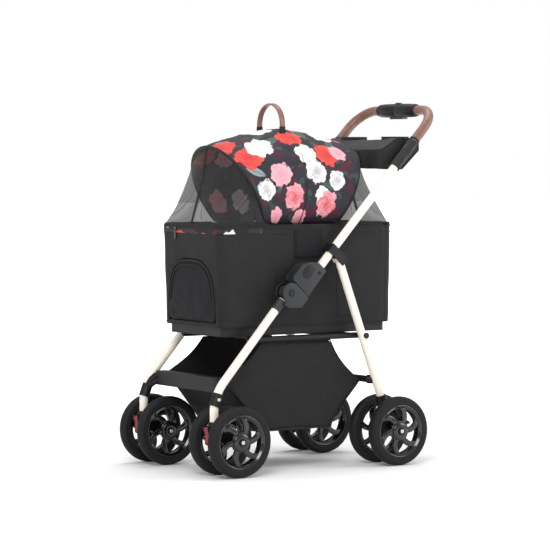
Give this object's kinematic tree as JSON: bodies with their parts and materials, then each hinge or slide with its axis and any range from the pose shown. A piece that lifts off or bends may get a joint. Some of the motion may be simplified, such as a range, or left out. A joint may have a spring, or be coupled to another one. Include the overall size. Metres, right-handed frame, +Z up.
{
  "type": "pet stroller",
  "caption": "Folding four-wheeled pet stroller with a lift-off fabric carrier, hooped canopy with mesh ends, basket, organiser tray and wrapped handle.",
  "frame": {"origin": "on the floor under the middle of the whole stroller's outline", "axes": "+Z up, -Y towards the stroller's front, +X towards its own left side"},
  "size_m": [0.4788, 0.7744, 0.9663],
  "materials": {
    "cream_paint": "satin champagne-cream powder coat on steel tube",
    "grey_plastic": "fine-textured dark grey moulding",
    "black_plastic": "fine-textured black moulding",
    "gloss_plastic": "polished black moulding",
    "red_plastic": "smooth dark red moulding",
    "tyre_foam": "matt closed-cell foam tyre",
    "leather": "brown wrapped leather, soft sheen",
    "black_fabric": "black oxford weave",
    "floral_fabric": "rose print on black oxford weave",
    "mesh_fabric": "see-through black knitted mesh",
    "steel": "bright plated steel"
  },
  "bodies": {
    "front_frame": {"left_front_leg": "cream_paint", "right_front_leg": "cream_paint", "front_crossbar": "black_plastic", "left_lower_joint": "grey_plastic", "right_lower_joint": "grey_plastic", "seat_frame": "black_plastic", "basket": "black_fabric"},
    "push_frame": {"left_push_tube": "cream_paint", "right_push_tube": "cream_paint", "left_upper_joint": "grey_plastic", "right_upper_joint": "grey_plastic", "left_leg_clip": "black_plastic", "right_leg_clip": "black_plastic", "handle_bar": "leather", "fold_grip": "gloss_plastic", "parent_tray": "black_fabric"},
    "rear_frame": {"left_rear_leg": "cream_paint", "right_rear_leg": "cream_paint", "rear_crossbar": "black_plastic", "left_axle_block": "black_plastic", "right_axle_block": "black_plastic"},
    "carrier": {"base_tray": "black_plastic", "cabin_front": "black_fabric", "cabin_rear": "black_fabric", "cabin_left": "black_fabric", "cabin_right": "black_fabric", "hood": "floral_fabric", "front_mesh": "mesh_fabric", "rear_mesh": "mesh_fabric"},
    "front_door": {"front_door": "black_fabric"},
    "front_hoop": {"front_hoop": "black_plastic"},
    "rear_hoop": {"rear_hoop": "black_plastic"},
    "carry_handle": {"carry_handle": "leather"},
    "zipper_pull": {"zipper_pull": "steel"},
    "grip_button": {"grip_button": "gloss_plastic"},
    "grip_trigger": {"grip_trigger": "gloss_plastic"},
    "left_caster": {"left_caster_fork": "black_plastic"},
    "left_caster_lock": {"left_caster_lock": "red_plastic"},
    "left_brake_pedal": {"left_brake_pedal": "black_plastic"},
    "left_joint_latch": {"left_joint_latch": "black_plastic"},
    "left_front_outer_wheel": {"left_front_outer_tyre": "tyre_foam", "left_front_outer_rim": "gloss_plastic"},
    "left_front_inner_wheel": {"left_front_inner_tyre": "tyre_foam", "left_front_inner_rim": "gloss_plastic"},
    "left_rear_outer_wheel": {"left_rear_outer_tyre": "tyre_foam", "left_rear_outer_rim": "gloss_plastic"},
    "left_rear_inner_wheel": {"left_rear_inner_tyre": "tyre_foam", "left_rear_inner_rim": "gloss_plastic"},
    "right_caster": {"right_caster_fork": "black_plastic"},
    "right_caster_lock": {"right_caster_lock": "red_plastic"},
    "right_brake_pedal": {"right_brake_pedal": "black_plastic"},
    "right_joint_latch": {"right_joint_latch": "black_plastic"},
    "right_front_outer_wheel": {"right_front_outer_tyre": "tyre_foam", "right_front_outer_rim": "gloss_plastic"},
    "right_front_inner_wheel": {"right_front_inner_tyre": "tyre_foam", "right_front_inner_rim": "gloss_plastic"},
    "right_rear_outer_wheel": {"right_rear_outer_tyre": "tyre_foam", "right_rear_outer_rim": "gloss_plastic"},
    "right_rear_inner_wheel": {"right_rear_inner_tyre": "tyre_foam", "right_rear_inner_rim": "gloss_plastic"}
  },
  "joints": [
    {"name": "frame_fold", "type": "hinge", "parent": "front_frame", "child": "push_frame", "pos_m": [0, -0.118, 0.467], "axis": [1, 0, 0], "range_deg": [0, 145], "deforming": ["rear_hoop", "carry_handle"]},
    {"name": "rear_legs_fold", "type": "hinge", "parent": "front_frame", "child": "rear_frame", "pos_m": [0, 0.1245, 0.3464], "axis": [1, 0, 0], "range_deg": [-50, 0], "deforming": ["basket"]},
    {"name": "left_caster_swivel", "type": "hinge", "parent": "front_frame", "child": "left_caster", "pos_m": [0.175, -0.345, 0.143], "axis": [0, 0, 1], "continuous": true},
    {"name": "left_caster_lock_lever", "type": "hinge", "parent": "left_caster", "child": "left_caster_lock", "pos_m": [0.175, -0.3656, 0.126], "axis": [1, 0, 0], "range_deg": [-18, 0]},
    {"name": "left_brake", "type": "hinge", "parent": "rear_frame", "child": "left_brake_pedal", "pos_m": [0.175, 0.228, 0.12], "axis": [1, 0, 0], "range_deg": [-18, 0]},
    {"name": "left_latch_slide", "type": "slide", "parent": "push_frame", "child": "left_joint_latch", "axis": [0, 0.6807, 0.7325], "range_m": [0, 0.008], "stiffness_N_per_m": 400},
    {"name": "left_front_outer_wheel_spin", "type": "hinge", "parent": "left_caster", "child": "left_front_outer_wheel", "pos_m": [0.22, -0.297, 0.092], "axis": [1, 0, 0], "continuous": true},
    {"name": "left_front_inner_wheel_spin", "type": "hinge", "parent": "left_caster", "child": "left_front_inner_wheel", "pos_m": [0.13, -0.297, 0.092], "axis": [1, 0, 0], "continuous": true},
    {"name": "left_rear_outer_wheel_spin", "type": "hinge", "parent": "rear_frame", "child": "left_rear_outer_wheel", "pos_m": [0.22, 0.205, 0.092], "axis": [1, 0, 0], "continuous": true},
    {"name": "left_rear_inner_wheel_spin", "type": "hinge", "parent": "rear_frame", "child": "left_rear_inner_wheel", "pos_m": [0.13, 0.205, 0.092], "axis": [1, 0, 0], "continuous": true},
    {"name": "right_caster_swivel", "type": "hinge", "parent": "front_frame", "child": "right_caster", "pos_m": [-0.175, -0.345, 0.143], "axis": [0, 0, 1], "continuous": true},
    {"name": "right_caster_lock_lever", "type": "hinge", "parent": "right_caster", "child": "right_caster_lock", "pos_m": [-0.175, -0.3656, 0.126], "axis": [1, 0, 0], "range_deg": [-18, 0]},
    {"name": "right_brake", "type": "hinge", "parent": "rear_frame", "child": "right_brake_pedal", "pos_m": [-0.175, 0.228, 0.12], "axis": [1, 0, 0], "range_deg": [-18, 0]},
    {"name": "right_latch_slide", "type": "slide", "parent": "push_frame", "child": "right_joint_latch", "axis": [0, 0.6807, 0.7325], "range_m": [0, 0.008], "stiffness_N_per_m": 400},
    {"name": "right_front_outer_wheel_spin", "type": "hinge", "parent": "right_caster", "child": "right_front_outer_wheel", "pos_m": [-0.22, -0.297, 0.092], "axis": [1, 0, 0], "continuous": true},
    {"name": "right_front_inner_wheel_spin", "type": "hinge", "parent": "right_caster", "child": "right_front_inner_wheel", "pos_m": [-0.13, -0.297, 0.092], "axis": [1, 0, 0], "continuous": true},
    {"name": "right_rear_outer_wheel_spin", "type": "hinge", "parent": "rear_frame", "child": "right_rear_outer_wheel", "pos_m": [-0.22, 0.205, 0.092], "axis": [1, 0, 0], "continuous": true},
    {"name": "right_rear_inner_wheel_spin", "type": "hinge", "parent": "rear_frame", "child": "right_rear_inner_wheel", "pos_m": [-0.13, 0.205, 0.092], "axis": [1, 0, 0], "continuous": true},
    {"name": "button_press", "type": "slide", "parent": "push_frame", "child": "grip_button", "axis": [0, 0, -1], "range_m": [0, 0.002], "stiffness_N_per_m": 500},
    {"name": "trigger_squeeze", "type": "slide", "parent": "push_frame", "child": "grip_trigger", "axis": [0, 0, 1], "range_m": [0, 0.003], "stiffness_N_per_m": 500},
    {"name": "carrier_lift", "type": "slide", "parent": "front_frame", "child": "carrier", "axis": [0, -0.6, 0.8], "range_m": [0, 0.3]},
    {"name": "door_open", "type": "hinge", "parent": "carrier", "child": "front_door", "pos_m": [0, -0.3, 0.392], "axis": [1, 0, 0], "range_deg": [0, 110]},
    {"name": "carry_handle_swing", "type": "hinge", "parent": "carrier", "child": "carry_handle", "pos_m": [0, -0.054, 0.884], "axis": [1, 0, 0], "range_deg": [-45, 45]},
    {"name": "zipper_pull_swing", "type": "hinge", "parent": "carrier", "child": "zipper_pull", "pos_m": [-0.068, -0.311, 0.634], "axis": [1, 0, 0], "range_deg": [-40, 0]},
    {"name": "front_hoop_fold", "type": "hinge", "parent": "carrier", "child": "front_hoop", "pos_m": [0, -0.153, 0.643], "axis": [1, 0, 0], "range_deg": [-27, 0], "deforming": ["hood", "front_mesh"]},
    {"name": "rear_hoop_fold", "type": "hinge", "parent": "carrier", "child": "rear_hoop", "pos_m": [0, 0.078, 0.643], "axis": [1, 0, 0], "range_deg": [0, 26], "deforming": ["rear_mesh"]}
  ],
  "couplings": [
    {"joint": "rear_legs_fold", "follows": "frame_fold", "ratio": -0.3448}
  ]
}
